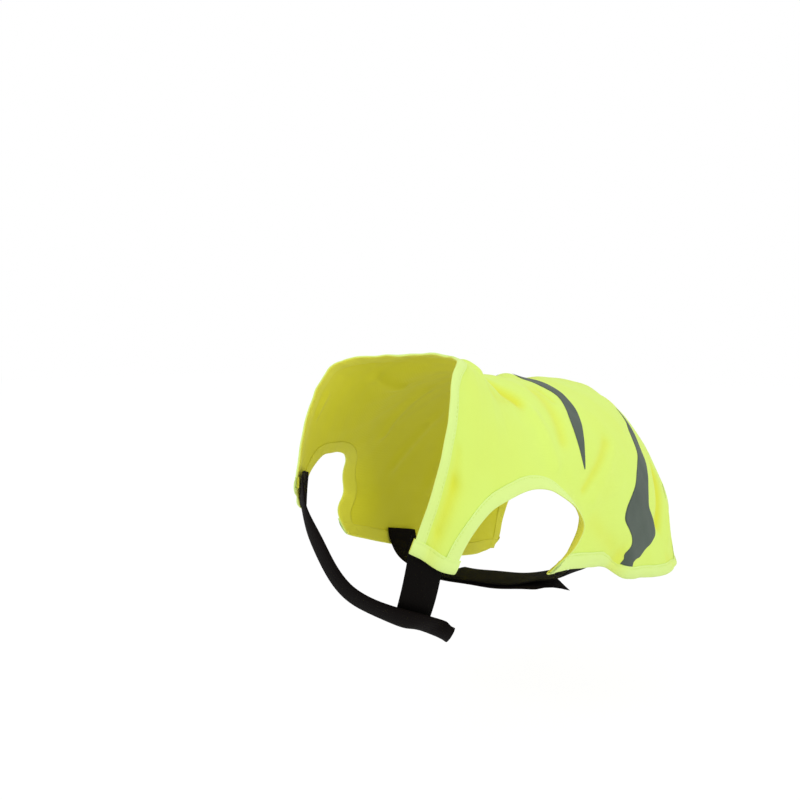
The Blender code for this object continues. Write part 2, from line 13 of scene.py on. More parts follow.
import bmesh
import bpy
import numpy as np
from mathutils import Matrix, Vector


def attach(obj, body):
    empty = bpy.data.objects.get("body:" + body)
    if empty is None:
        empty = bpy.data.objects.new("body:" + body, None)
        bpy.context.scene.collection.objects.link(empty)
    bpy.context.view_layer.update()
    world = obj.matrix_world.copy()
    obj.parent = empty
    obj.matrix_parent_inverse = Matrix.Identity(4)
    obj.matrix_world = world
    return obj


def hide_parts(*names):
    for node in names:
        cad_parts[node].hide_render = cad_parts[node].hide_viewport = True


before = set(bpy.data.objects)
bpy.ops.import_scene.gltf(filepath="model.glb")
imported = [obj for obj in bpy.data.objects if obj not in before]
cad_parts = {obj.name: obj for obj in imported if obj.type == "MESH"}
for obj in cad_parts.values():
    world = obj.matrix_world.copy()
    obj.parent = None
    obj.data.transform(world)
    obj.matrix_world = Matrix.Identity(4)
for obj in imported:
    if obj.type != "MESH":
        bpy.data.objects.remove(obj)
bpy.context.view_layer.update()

MM = 0.001

# ---------------------------------------------------------------- sizes, mm
PANEL_WALL = 0.8
PANEL_LIFT = 0.5           # middle of the panel's wall above the figure
BAND_WIDTH = 10.0
TUCK = 1.6                 # how far inside a band's fold the panel's edge lies
UNDER_HEM = 8.8            # from a foot's edge to the end of the rear hem and of the seams
BINDING_FOOT = 2.0         # how far in from a foot a neck or armhole binding ends, inside the hem
HEM_INSIDE = -0.5          # inner face of a hem above the figure
FILM_WALL, FILM_CLEAR = 0.14, 0.10
FILM_SPINE_CLEAR, FILM_SPINE_REACH = 0.35, 18.0    # more of it by the spine, to how many degrees out
FILM_FOOT = 7.4            # how far from the flank's foot the film ends
FILM_FOOT_ROWS = 40        # last rows of a stripe, among which it meets the hem
STRAP_WALL = 1.5
STRAP_GAP = 0.3
CHEST_STRAP_WIDTH = 25.0
BELLY_STRAP_WIDTH = 40.0
STITCH_PITCH, STITCH_LENGTH, STITCH_WIDTH, STITCH_SAG = 3.0, 2.3, 0.42, 0.25
SEAM_AT = 8.4              # line of stitches, from a band's free edge
SEAM_LIFT, HEM_SEAM_LIFT = PANEL_LIFT + 0.86, PANEL_LIFT + 0.95

# Mesh density of the panel and the bands
NECK_CELLS, SPINE_CELLS, REAR_CELLS, PANEL_CELLS_ACROSS = 76, 100, 64, 70
TRACE_STEPS, SPINE_STEPS, ROW_STEPS = 240, 200, 900
RUN_ON, RUN_ON_STEPS = 25.0, 12
NECK_STEPS, REAR_STEPS, ARMHOLE_STEPS, TAB_STEPS, FLANK_STEPS, STRAP_STEPS = 150, 140, 170, 70, 200, 110

# The general figure: where each section crosses the back, its tilt from upright in degrees,
# its half width, its depth, how far down the depth it is widest, and how square it is
SECTIONS = np.array([
    # spine_y spine_z lean half_width depth widest round_above round_below
    [-158.0, 18.0, 84.0, 47.0,  96.0, 0.50, 2.00, 2.2],
    [-138.0, 16.5, 62.0, 60.0, 130.0, 0.50, 2.00, 2.2],
    [-116.0,  8.0, 46.0, 70.0, 186.0, 0.48, 2.00, 2.2],
    [ -88.0,  4.5, 32.0, 80.0, 208.0, 0.46, 2.10, 2.4],
    [ -56.0,  1.5, 18.0, 86.0, 184.0, 0.47, 2.10, 2.8],
    [ -15.0,  0.5,  6.0, 88.0, 174.0, 0.49, 2.10, 3.0],
    [  35.0, -1.5,  0.0, 88.0, 180.0, 0.54, 2.00, 3.2],
    [  85.0, -6.5,  0.0, 88.0, 190.0, 0.65, 1.85, 3.2],
    [ 132.0, -17.5, 2.0, 86.0, 192.0, 0.81, 1.70, 2.8],
])
LAST_SECTION = len(SECTIONS) - 1
HOLLOW_MIDDLE_Z = -90.0
SECTION_STEP = 42.0        # rough size of a section's step on the figure
GIRTH_STEP = 1.45          # and of a degree of girth

# Edges of the cut, left side.  stand_out: how far the edge gapes from the figure.
NECK_EDGE = np.array([
    # section girth stand_out
    [ 0.02,   0.0, 1.0],
    [ 0.01,  40.0, 1.0],
    [ 0.01,  68.0, 0.5],
    [ 0.15,  84.5, 0.0],
    [ 0.41,  98.5, 0.0],
    [ 0.72, 108.3, 0.0],
    [ 1.09, 120.0, 0.0],
    [ 1.40, 131.3, 0.0],
    [ 1.66, 142.3, 0.0],
    [ 1.88, 151.5, 0.0],
])
ARMHOLE_EDGE = np.array([
    # section girth stand_out
    [2.32, 140.5,  0.0],
    [2.25, 135.0,  0.0],
    [2.19, 127.0,  0.0],
    [2.19, 115.5,  0.0],
    [2.27, 105.0,  1.0],
    [2.49,  94.0,  2.0],
    [2.79,  86.4,  3.0],
    [3.04,  85.6,  5.0],
    [3.30,  88.9,  9.0],
    [3.44,  92.4, 13.0],
    [3.62,  98.9, 16.0],
    [3.68, 103.4, 16.5],
    [3.64, 108.2, 16.0],
    [3.59, 114.0, 13.0],
    [3.58, 119.8,  7.0],
    [3.61, 124.3,  2.0],
])
TAB_FOOT = np.array([
    # section girth stand_out
    [1.88, 151.5, 0.0],
    [1.97, 148.4, 0.0],
    [2.12, 145.3, 0.0],
    [2.24, 142.7, 0.0],
    [2.32, 140.5, 0.0],
])
FLANK_FOOT = np.array([
    # section girth stand_out
    [3.61, 124.3, 0.0],
    [4.08, 124.3, 0.0],
    [4.71, 125.6, 0.0],
    [5.20, 127.3, 0.0],
    [5.41, 128.9, 3.2],
    [5.58, 129.4, 6.4],
    [6.02, 127.2, 7.0],
    [6.57, 121.0, 6.0],
    [7.00, 113.3, 4.5],
    [7.36, 104.6, 2.5],
    [7.62,  98.5, 0.5],
])
REAR_EDGE = np.array([
    # section girth stand_out
    [7.62,  98.5, 0.5],
    [7.80,  88.0, 1.5],
    [7.87,  77.0, 1.5],
    [7.89,  66.0, 1.0],
    [7.98,  55.0, 0.5],
    [8.03,  46.0, 0.0],
    [7.99,  36.0, 0.0],
    [7.92,  24.0, 0.0],
    [7.90,  12.0, 0.0],
    [7.93,   0.0, 0.0],
])
GAPE_REACH, FLARE_REACH = 16.0, 20.0    # how far in from an edge it gapes or flares
# Shares of the armhole's edge that face the neck's end and the rear's start across the panel
ARMHOLE_AT_NAPE, ARMHOLE_AT_RUMP = 0.42, 0.80
FLANK_BEND = 4             # how late the panel's rows turn to lie along the flank's foot
REAR_CORNER = 14.0         # radius of the flank hem's rear corner

# Creases: a soft trough (height below 0) or ridge along a line, wide at a and narrower at b.
# Girth below 0 is the right side.
CREASES = np.array([
    # section_a girth_a section_b girth_b height width_a width_b
    [0.80,   28.0, 0.95,  44.0,  1.6, 12.0, 10.0],    # crown of the collar
    [1.45,   47.0, 2.10,  38.0, -1.0, 13.0,  9.0],    # hollows behind the collar
    [1.80,   17.0, 2.58,  35.0, -3.4, 15.0, 13.0],
    [1.35,  -48.0, 2.20, -30.0, -3.0, 14.0,  8.0],
    [4.42,    4.0, 4.78,  -5.0,  2.2, 13.0, 13.0],    # rise between the shoulder blades
    [3.62,    8.0, 4.72, -12.0, -2.8,  8.0,  8.0],    # dips before and behind it
    [4.92,    8.0, 5.70,  -9.0, -3.3, 12.0, 11.0],
    [6.80,    0.0, 7.90,   8.0, -2.2, 26.0, 26.0],    # slope of the rump
    [7.00,   21.0, 7.55,  38.0, -4.4, 17.0, 17.0],
    [7.76,   22.0, 8.00,  34.0, -5.0, 17.0, 17.0],
    [7.95,   14.0, 8.00,  27.0, -1.2, 22.0, 16.0],
    [7.85,   63.0, 7.90,  84.0, -3.4, 22.0, 20.0],
    [3.98,   27.0, 3.95,  38.0, -1.2,  8.0,  5.0],    # dent in front of the front stripe
    [3.66,   30.0, 3.54,  60.0, -1.7, 15.0, 11.0],    # trough in front of the front stripe
    [2.90,   45.0, 3.27,  73.0,  2.0, 12.0,  8.0],    # ridge beside it
    [3.50,  -34.0, 3.60, -66.0, -2.5, 14.0,  8.0],
    [4.89,   66.0, 4.06,  87.0, -1.7,  9.0,  6.0],    # crease below the front stripe
    [5.06,   70.0, 4.35,  92.0,  0.9,  8.0,  7.0],    # its lip
    [5.00,  -56.0, 4.30, -86.0, -2.0, 12.0,  7.0],
    [3.95,   96.0, 5.20,  87.0,  0.8,  9.0,  7.0],    # faint ridges over the flank
    [4.40,  104.0, 5.10, 116.0, -0.8, 12.0,  9.0],
    [4.10,  -95.0, 5.30, -100.0, 0.8, 10.0,  8.0],
    [5.70,  -66.0, 5.30, -96.0, -1.4, 11.0,  7.0],
    [1.57,  120.0, 1.84, 136.0, -1.9,  8.0,  7.0],    # fold down the front tab
    [1.30,  112.0, 1.57, 121.0, -0.8,  6.0,  8.0],
    [1.90,  139.0, 2.04, 145.5, -1.2,  6.0,  8.0],
    [1.22,  -98.0, 1.42, -110.0, -2.0, 8.0, 6.0],
    [6.95,   60.0, 6.64,  93.0, -3.8, 12.0,  9.0],    # fold behind the rear stripe
    [7.34,   68.0, 7.14,  92.0,  1.4,  9.0,  7.0],
    [7.00,  -58.0, 6.75, -98.0, -2.2, 12.0,  8.0],
    [7.40,  -40.0, 7.20, -80.0, 1.2,  12.0,  8.0],
    [5.38,  121.0, 5.26, 132.0, -1.8, 12.0, 13.0],    # where the flank leaves the strap
    [5.50, -110.0, 5.25, -132.0, -2.8, 12.0, 10.0],
    [7.05,  104.0, 7.55,  97.0, -0.8,  6.0,  5.0],    # pull towards the rear corner
    [6.50, -106.0, 7.40, -96.0, -1.2,  8.0,  5.0],
    [5.30,   -8.0, 6.10,  16.0, -0.8, 14.0,  9.0],    # soft unevenness of the back
    [6.60,   22.0, 7.40,   6.0, -0.8, 12.0,  9.0],
    [4.70,  -22.0, 5.40, -40.0, -1.1, 12.0,  8.0],
])
CREASE_SPREAD = 0.6        # share of its width at which a crease has faded to about a third

# Slight unevenness all over: waves with a length along each way, a height and a start
WAVES = np.array([
    # sections girth height start
    [1.70,   61.0, 0.28, 0.4],
    [0.93,  -38.0, 0.20, 2.1],
    [0.61,   23.0, 0.12, 4.4],
    [0.38,  -17.0, 0.07, 1.2],
])

# The right shoulder is worn higher and further forward, by a girth and a section: not at all
# at ASKEW_FROM and behind it, in full from ASKEW_TO on and from ASKEW_FULL_GIRTH down
ASKEW_GIRTH, ASKEW_SECTION = 16.0, 0.30
ASKEW_FROM, ASKEW_TO, ASKEW_FULL_GIRTH = 4.8, 2.2, 120.0

# Tapered tiger stripes, a row for each girth
FRONT_STRIPE = np.array([
    # girth section_front section_rear
    [ 5.0, 4.50, 4.61],
    [10.0, 4.40, 4.63],
    [16.0, 4.31, 4.63],
    [27.0, 4.25, 4.62],
    [39.0, 4.24, 4.53],
    [50.0, 4.02, 4.42],
    [58.0, 3.96, 4.27],
    [68.0, 3.98, 4.13],
    [74.0, 4.02, 4.10],
    [77.5, 4.06, 4.08],
])
REAR_STRIPE = np.array([
    # girth section_front section_rear
    [ 33.0, 6.45, 6.47],
    [ 41.0, 6.39, 6.49],
    [ 54.0, 6.13, 6.44],
    [ 64.0, 6.06, 6.40],
    [ 76.0, 5.83, 6.26],
    [ 87.0, 5.64, 6.20],
    [ 92.0, 5.53, 6.25],
    [ 97.0, 5.42, 6.49],
    [100.5, 5.36, 6.52],
    [104.0, 5.36, 6.45],
    [109.0, 5.56, 6.29],
    [113.5, 5.63, 6.11],
    [117.5, 5.54, 5.96],
    [119.0, 5.50, 5.87],
    [119.8, 5.49, 5.78],
    [121.5, 5.50, 5.70],
    [124.0, 5.45, 5.69],
])

# Routes of the straps' centre lines.  lift: height of the strap's middle above the figure;
# tilt: its lean in degrees, + when the edge on the left of its run is raised.
STRAP_UNDER = HEM_INSIDE - STRAP_GAP - STRAP_WALL / 2
CHEST_STRAP_LEFT = np.array([
    # section girth lift tilt
    [1.88, 141.5, STRAP_UNDER - 1.2, 0.0],
    [2.08, 147.5, STRAP_UNDER - 1.2, 0.0],
    [2.28, 153.5, STRAP_UNDER - 1.7, 0.0],
    [2.48, 159.5, STRAP_UNDER - 2.8, 0.0],
    [2.60, 163.0, STRAP_UNDER - 3.5, 0.0],
])
CHEST_STRAP_RIGHT = np.array([
    # section girth lift tilt
    [1.87, -118.5, STRAP_UNDER - 0.6, 0.0],
    [1.60, -137.0, STRAP_UNDER - 1.0, 0.0],
    [1.66, -146.0, -2.8, 7.0],
    [1.83, -163.2, -3.4, 11.0],
    [2.17, -177.5, -3.3, 14.3],
    [2.40, -190.5, -2.6, 13.1],
    [2.64, -199.4, -0.8, 16.5],
    [2.83, -203.1,  2.3, 17.8],
    [2.86, -204.6,  6.7, 15.6],
])
BELLY_STRAP_LEFT = np.array([
    # section girth lift tilt
    [4.57, 117.0, STRAP_UNDER - 0.2, 0.0],
    [4.57, 121.0, STRAP_UNDER - 0.3, 0.0],
    [4.57, 125.5, STRAP_UNDER - 1.4, -2.0],
    [4.57, 132.0,  -7.6, -6.0],
    [4.57, 140.0, -15.6, -6.0],
    [4.57, 150.0, -19.4, -4.0],
    [4.57, 165.0, -20.2, -2.0],
    [4.57, 185.0, -20.0, 0.0],
    [4.57, 200.0, -18.8, 0.0],
])
BELLY_STRAP_RIGHT = np.array([
    # section girth lift tilt
    [4.57, -117.0, STRAP_UNDER - 0.2, 0.0],
    [4.57, -121.0, STRAP_UNDER - 0.3, 0.0],
    [4.57, -125.5, STRAP_UNDER - 1.3, 0.0],
    [4.57, -132.0,  -5.8, 0.0],
    [4.57, -140.0, -11.6, 0.0],
    [4.57, -152.0, -15.2, 0.0],
    [4.56, -170.0, -17.6, 0.0],
    [4.55, -190.0, -17.8, 1.5],
    [4.54, -205.0, -17.2, 3.5],
    [4.52, -213.0, -15.2, 5.0],
    [4.50, -218.5, -12.2, 6.0],
])
# The last stretch of a free end whose right corner peels away, how far it peels, and how
# steeply the peel grows along the strap and across it
PEEL_LENGTH, PEEL_HEIGHT = 7.5, 14.0
PEEL_ALONG, PEEL_ACROSS = 1.2, 1.5
# Slight waves of a strap: height, and the lengths that they take along it and across it
STRAP_WAVE, WAVE_ALONG, WAVE_ACROSS = 0.1, 7.0, 9.0
# Half section of a strap, with thin woven edges, in shares of half its width and wall
STRAP_PROFILE = np.array([
    # reach wall
    [-1.0, 0.30],
    [-0.985, 0.55],
    [-0.93, 0.62],
    [-0.8, 0.95],
    [-0.5, 1.0],
    [0.0, 1.0],
    [0.5, 1.0],
    [0.8, 0.95],
    [0.93, 0.62],
    [0.985, 0.55],
    [1.0, 0.30],
])

# Section through a folded band: from the outer lip round the fold to the inner lip, and
# back inside.  height: from the middle of the panel's wall.
BAND_PROFILE = np.array([
    # from_edge height
    [10.0, 0.62],
    [9.9, 0.84],
    [9.4, 0.94],
    [8.4, 0.78],
    [7.4, 1.02],
    [6.2, 1.20],
    [4.4, 1.28],
    [2.4, 1.22],
    [1.1, 1.02],
    [0.3, 0.60],
    [0.0, 0.00],
    [0.3, -0.55],
    [1.1, -0.88],
    [2.4, -1.00],
    [5.0, -1.02],
    [8.4, -0.84],
    [9.6, -0.88],
    [10.0, -0.66],
    [9.8, -0.47],
    [5.0, -0.46],
    [1.7, -0.44],
    [1.2, 0.00],
    [1.7, 0.44],
    [5.0, 0.46],
    [9.6, 0.50],
])
BAND_DISTANCES = np.array([-2.0, 0.0, 1.0, 2.5, 5.0, 7.5, 10.0, 13.0])
# How wide a band's outer face is, as a share of its inner face
NECK_LIP = 0.70
HEM_LIP = np.array([
    # along_flank_hem share
    [0.0, 1.28],
    [30.0, 1.32],
    [80.0, 1.34],
    [88.0, 1.28],
    [95.0, 1.12],
    [102.0, 1.02],
    [109.0, 0.86],
    [116.0, 0.76],
    [123.0, 0.75],
    [131.0, 0.92],
    [138.0, 1.00],
    [300.0, 1.00],
])
HEM_OVER_BINDING = 1.65    # how much thicker a hem is where it covers a binding's end
COVER_LENGTH, COVER_FADE = 11.0, 3.0    # over how much of its length, and how soon that fades
INNER_SHADE_BELOW = 0.8         # height over which a band's colour turns from the outer face's to the painted shade of the inner face
# Rise and fall of a sewn band: short puckers, their drift, and a longer swell
PUCKER, PUCKER_EVERY, PUCKER_DRIFT, DRIFT_EVERY = 0.16, 4.1, 0.7, 13.0
SWELL, SWELL_EVERY, SWELL_START = 0.12, 9.3, 1.0


# ---------------------------------------------------------------- curves and figure
def spline(knots, rows, at):
    """Natural cubic spline through rows, one for each knot."""
    knots = np.asarray(knots, float)
    count = len(knots)
    step = np.diff(knots)
    matrix = np.eye(count)
    slopes = np.zeros_like(rows)
    for i in range(1, count - 1):
        matrix[i, i - 1:i + 2] = step[i - 1], 2 * (step[i - 1] + step[i]), step[i]
        slopes[i] = 6 * ((rows[i + 1] - rows[i]) / step[i] - (rows[i] - rows[i - 1]) / step[i - 1])
    bend = np.linalg.solve(matrix, slopes)
    at = np.asarray(at, float)
    k = np.clip(np.searchsorted(knots, at, side="right") - 1, 0, count - 2)
    width = step[k][..., None]
    a = (knots[k + 1] - at)[..., None] / width
    b = 1 - a
    curve = (a ** 3 - a) * bend[k] + (b ** 3 - b) * bend[k + 1]
    return a * rows[k] + b * rows[k + 1] + curve * width ** 2 / 6


def figure(section, girth):
    """Point of the general figure."""
    section, girth = np.broadcast_arrays(np.asarray(section, float), np.asarray(girth, float))
    row = spline(np.arange(LAST_SECTION + 1), SECTIONS, section)
    spine_y, spine_z, lean, half_width, depth, widest, above, below = np.moveaxis(row, -1, 0)
    angle, lean = np.radians(girth), np.radians(lean)
    across, up = np.sin(angle), np.cos(angle)
    power = np.where(up >= 0, above, below)
    reach = depth * np.where(up >= 0, widest, 1 - widest)
    radius = (np.abs(across / half_width) ** power + np.abs(up / reach) ** power) ** (-1 / power)
    drop = depth * widest - radius * up
    return np.stack([radius * across, spine_y - drop * np.sin(lean), spine_z - drop * np.cos(lean)], -1)


def axes(section, girth):
    """Steps of the figure along a section and along the girth, and its outward normal."""
    small = 1e-3
    along = (figure(section + small, girth) - figure(section - small, girth)) / (2 * small)
    round_ = (figure(section, girth + small) - figure(section, girth - small)) / (2 * small)
    normal = np.cross(along, round_)
    return along, round_, -normal / np.linalg.norm(normal, axis=-1, keepdims=True)


def lengths(points):
    """Running length along a row of points."""
    return np.concatenate([[0.0], np.cumsum(np.linalg.norm(np.diff(points, axis=0), axis=1))])


def trace(table, steps=TRACE_STEPS):
    """Dense smooth path through a table's rows, all its columns."""
    leap = np.hypot(np.diff(table[:, 0]) * SECTION_STEP, np.diff(table[:, 1]) * GIRTH_STEP)
    knots = np.concatenate([[0.0], np.cumsum(leap)])
    return spline(knots, table, np.linspace(0, knots[-1], steps + 1))


def walk(path, steps):
    """The same path in a number of equal steps on the figure."""
    far = lengths(figure(path[:, 0], path[:, 1]))
    at = np.linspace(0, far[-1], steps + 1)
    return np.stack([np.interp(at, far, column) for column in path.T], -1)


def shift(path, distance):
    """The path moved sideways on the figure by a distance or a row of them, + to its left."""
    along, round_, normal = axes(path[:, 0], path[:, 1])
    run = np.gradient(figure(path[:, 0], path[:, 1]), axis=0)
    side = np.cross(normal, run)
    side *= np.reshape(distance, (-1, 1)) / np.linalg.norm(side, axis=1, keepdims=True)
    moved = path.copy()
    for i in range(len(path)):
        basis = np.stack([along[i], round_[i]], -1)
        moved[i, :2] += np.linalg.lstsq(basis, side[i], rcond=None)[0]
    return moved


def extend(path):
    """The path run on straight past both ends."""
    ends = []
    for tip, inner in ((path[0], path[3]), (path[-1], path[-4])):
        gap = np.linalg.norm(figure(*tip[:2]) - figure(*inner[:2]))
        ends.append(tip + (tip - inner) * (RUN_ON / gap) * np.linspace(0, 1, RUN_ON_STEPS + 1)[1:, None])
    return np.concatenate([ends[0][::-1], path, ends[1]])


def crossing(path, line):
    """Index, with its fraction, at which a path first crosses a line."""
    a, b = path[:-1, None, :2], np.diff(path[:, :2], axis=0)[:, None]
    c, d = line[None, :-1, :2], np.diff(line[:, :2], axis=0)[None]
    cross = b[..., 0] * d[..., 1] - b[..., 1] * d[..., 0]
    cross = np.where(np.abs(cross) < 1e-12, 1e-12, cross)
    gap = c - a
    on_path = (gap[..., 0] * d[..., 1] - gap[..., 1] * d[..., 0]) / cross
    on_line = (gap[..., 0] * b[..., 1] - gap[..., 1] * b[..., 0]) / cross
    hit = (on_path >= 0) & (on_path <= 1) & (on_line >= 0) & (on_line <= 1)
    rows, columns = np.nonzero(hit)
    return rows[0] + on_path[rows[0], columns[0]]


def clip(path, start_line, stop_line):
    """The stretch of a path between two lines that cross it."""
    path = extend(path)
    first = crossing(path, start_line)
    last = len(path) - 1 - crossing(path[::-1], stop_line)
    inner = np.arange(int(first) + 1, int(np.ceil(last)))
    at = np.concatenate([[first], inner, [last]])
    return np.stack([np.interp(at, np.arange(len(path)), column) for column in path.T], -1)


# ---------------------------------------------------------------- relief of the cloth
def creases(section, girth):
    """Height of the creases at a place."""
    step = np.array([SECTION_STEP, GIRTH_STEP])
    place = np.stack([section, girth], -1) * step
    height = np.zeros(np.shape(section))
    for row in CREASES:
        start, run = row[0:2] * step, (row[2:4] - row[0:2]) * step
        part = np.clip(((place - start) @ run) / (run @ run), 0, 1)
        away = np.linalg.norm(place - start - part[..., None] * run, axis=-1)
        width = row[5] + (row[6] - row[5]) * part
        height = height + row[4] * np.exp(-(away / (CREASE_SPREAD * width)) ** 2)
    return height


def unevenness(section, girth):
    """Height of the slight waves at a place."""
    height = np.zeros(np.shape(section))
    for sections, degrees, rise, start in WAVES:
        height = height + rise * np.sin(2 * np.pi * (section / sections + girth / degrees) + start)
    return height


GAPING_EDGES = [trace(table, TRACE_STEPS // 3) for table in (NECK_EDGE, FLANK_FOOT)]
FLARED_EDGE = trace(ARMHOLE_EDGE, TRACE_STEPS // 3)


def stand_out(edge, section, girth):
    """The stand-out of the nearest point of an edge, and how far off that point is."""
    step = np.array([SECTION_STEP, GIRTH_STEP])
    place = np.stack([section, np.abs(girth)], -1)[..., None, :] * step
    start, run = edge[:-1, :2] * step, np.diff(edge[:, :2], axis=0) * step
    part = np.clip(((place - start) * run).sum(-1) / (run * run).sum(-1), 0, 1)
    away = np.linalg.norm(place - start - part[..., None] * run, axis=-1)
    near = np.argmin(away, axis=-1)[..., None]
    part, away = (np.take_along_axis(block, near, -1)[..., 0] for block in (part, away))
    near = near[..., 0]
    return edge[near, 2] + part * (edge[near + 1, 2] - edge[near, 2]), away


def gape(section, girth):
    """How far the cloth stands away from the figure near its free edges.
    Most edges hang straight down from it, and the armhole's flares."""
    out, away = stand_out(FLARED_EDGE, section, girth)
    height = out * np.clip(1 - away / FLARE_REACH, 0, 1) ** 2
    for edge in GAPING_EDGES:
        out, away = stand_out(edge, section, girth)
        height = height + out * np.exp(-(away / GAPE_REACH) ** 2)
    return height


def soft_step(value):
    """0 below 0, 1 above 1, smooth between."""
    value = np.clip(value, 0, 1)
    return value * value * (3 - 2 * value)


def worn(place, side):
    """Where a place of the cut lies on the wearer; girth is + on the left, - on the right."""
    section, girth = place[..., 0], place[..., 1]
    if side > 0:
        return section, girth
    turned = soft_step((ASKEW_FROM - section) / (ASKEW_FROM - ASKEW_TO))
    turned = turned * soft_step(girth / ASKEW_FULL_GIRTH)
    return section - ASKEW_SECTION * turned, -(girth - ASKEW_GIRTH * turned)


def relief(place, side):
    """Height of the worn cloth above the figure, before its wall."""
    section, girth = place[..., 0], side * place[..., 1]
    return creases(section, girth) + unevenness(section, girth) + gape(section, girth)


def cloth(place, lift, side):
    """Points of the worn vest at places of the cut, lifted outwards by lift."""
    section, girth = worn(place, side)
    height = lift + relief(place, side)
    return figure(section, girth) + axes(section, girth)[2] * height[..., None]


# ---------------------------------------------------------------- the cut
LEFT, RIGHT = 1, -1
SPINE_LINE = np.array([[-2.0, 0.0], [LAST_SECTION + 1.0, 0.0]])
NECK, TAB, FLANK, REAR = (
    trace(table)[:, :2] for table in (NECK_EDGE, TAB_FOOT, FLANK_FOOT, REAR_EDGE))
ARMHOLE = trace(ARMHOLE_EDGE)


def under_flare(distance, edge):
    """How far from an edge on the figure the places lie that are a distance away on the
    flared cloth."""
    nudge = (shift(edge, 1.0) - edge)[:, :2] * (SECTION_STEP, GIRTH_STEP)
    reach = FLARE_REACH / np.linalg.norm(nudge, axis=1)
    part = np.linspace(0, 1, 61)
    slope = 2 * (edge[:, 2] / reach)[:, None] * (1 - part)
    step = np.sqrt(1 + slope ** 2) * reach[:, None] * part[1]
    on_cloth = np.cumsum(step, axis=1) - step / 2 - step[:, :1] / 2
    return np.array([np.interp(distance, row, part) for row in on_cloth]) * reach


def inset(edge, distance):
    """An edge of the cut moved into the cloth, run on past both ends."""
    if edge.shape[1] > 2:
        distance = under_flare(distance, edge) if distance > 0 else np.full(len(edge), distance)
        edge = edge[:, :2]
    return extend(shift(edge, distance))


def neck_row(distance, foot, steps):
    """Along the neck at a distance from its edge, from the tab's foot up to the nape."""
    row = walk(clip(inset(NECK, distance), SPINE_LINE, inset(TAB, foot)), steps)[::-1]
    row[-1, 1] = 0.0
    return row


def rear_row(distance, foot, steps):
    """Along the rear at a distance from its edge, from the spine down to the flank's foot."""
    row = walk(clip(inset(REAR, distance), inset(FLANK, foot), SPINE_LINE), steps)[::-1]
    row[0, 1] = 0.0
    return row


def armhole_row(distance, foot, steps):
    """Round the armhole at a distance from its edge, from the tab to the flank."""
    return walk(clip(inset(ARMHOLE, distance), inset(TAB, foot), inset(FLANK, foot)), steps)


def foot_row(foot, distance, edges, past, steps):
    """Across a foot at a distance from its edge, from one edge to the other or past them."""
    return walk(clip(inset(foot, distance), *(inset(edge, -past) for edge in edges)), steps)


def panel_grid():
    """Left half of the back panel, from the armhole out to the neck, spine and rear."""
    neck, rear = neck_row(TUCK, TUCK, NECK_CELLS), rear_row(TUCK, TUCK, REAR_CELLS)
    spine = walk(np.linspace(neck[-1], rear[0], SPINE_STEPS), SPINE_CELLS)
    outer = np.concatenate([neck, spine[1:], rear[1:]])
    marks = np.concatenate([
        np.linspace(0, ARMHOLE_AT_NAPE, NECK_CELLS + 1)[:-1],
        np.linspace(ARMHOLE_AT_NAPE, ARMHOLE_AT_RUMP, SPINE_CELLS + 1)[:-1],
        np.linspace(ARMHOLE_AT_RUMP, 1, REAR_CELLS + 1)])
    path = armhole_row(TUCK, TUCK, ROW_STEPS)
    at = np.linspace(0, 1, ROW_STEPS + 1)
    inner = np.stack([np.interp(marks, at, column) for column in path.T], -1)
    share = np.linspace(0, 1, PANEL_CELLS_ACROSS + 1)[None, :, None]
    grid = inner[:, None] * (1 - share) + outer[:, None] * share
    flank = walk(clip(inset(FLANK, TUCK), inset(ARMHOLE, TUCK), inset(REAR, TUCK)), PANEL_CELLS_ACROSS)
    part = np.linspace(0, 1, len(grid))[:, None, None]
    return grid + part ** FLANK_BEND * (flank - grid[-1])


# ---------------------------------------------------------------- meshes
def select_only(piece):
    """Makes a piece the only selected and active one."""
    bpy.ops.object.select_all(action="DESELECT")
    piece.select_set(True)
    bpy.context.view_layer.objects.active = piece


def sew(name, points, faces, finish, uv=None, **marks):
    """A mesh piece from points in mm, with its cloth coordinates, and marks such as how deep
    in a crease each point lies, or whether it is on the inner face."""
    mesh = bpy.data.meshes.new(name)
    mesh.from_pydata((points * MM).tolist(), [], faces)
    if uv is not None:
        layer = mesh.uv_layers.new(name="cloth")
        corners = np.empty(len(mesh.loops), int)
        mesh.loops.foreach_get("vertex_index", corners)
        layer.data.foreach_set("uv", (uv[corners] * MM).ravel())
    for mark, values in marks.items():
        mesh.attributes.new(mark, "FLOAT", "POINT").data.foreach_set("value", values.ravel())
    piece = bpy.data.objects.new(name, mesh)
    bpy.context.scene.collection.objects.link(piece)
    mesh.materials.append(finish)
    mesh.shade_smooth()
    return piece


def tidy(piece, weld=0.0):
    """Welds a piece's doubles and turns its faces outwards."""
    shape = bmesh.new()
    shape.from_mesh(piece.data)
    if weld:
        bmesh.ops.remove_doubles(shape, verts=shape.verts, dist=weld * MM)
    bmesh.ops.recalc_face_normals(shape, faces=shape.faces)
    shape.to_mesh(piece.data)
    shape.free()


def grid_faces(rows, columns, start=0, ring=False):
    """Quads of a grid of points, row by row, closed into rings if asked."""
    reach = columns if ring else columns - 1
    i, j = np.meshgrid(np.arange(rows - 1), np.arange(reach), indexing="ij")
    k = (j + 1) % columns
    quads = np.stack([i * columns + j, i * columns + k, (i + 1) * columns + k, (i + 1) * columns + j], -1)
    return (quads.reshape(-1, 4) + start).tolist()


def give_wall(piece, wall):
    """Gives an open sheet its thickness, half to each side."""
    select_only(piece)
    solidify = piece.modifiers.new("wall", "SOLIDIFY")
    solidify.thickness = wall * MM
    solidify.offset = 0.0
    bpy.ops.object.modifier_apply(modifier="wall")


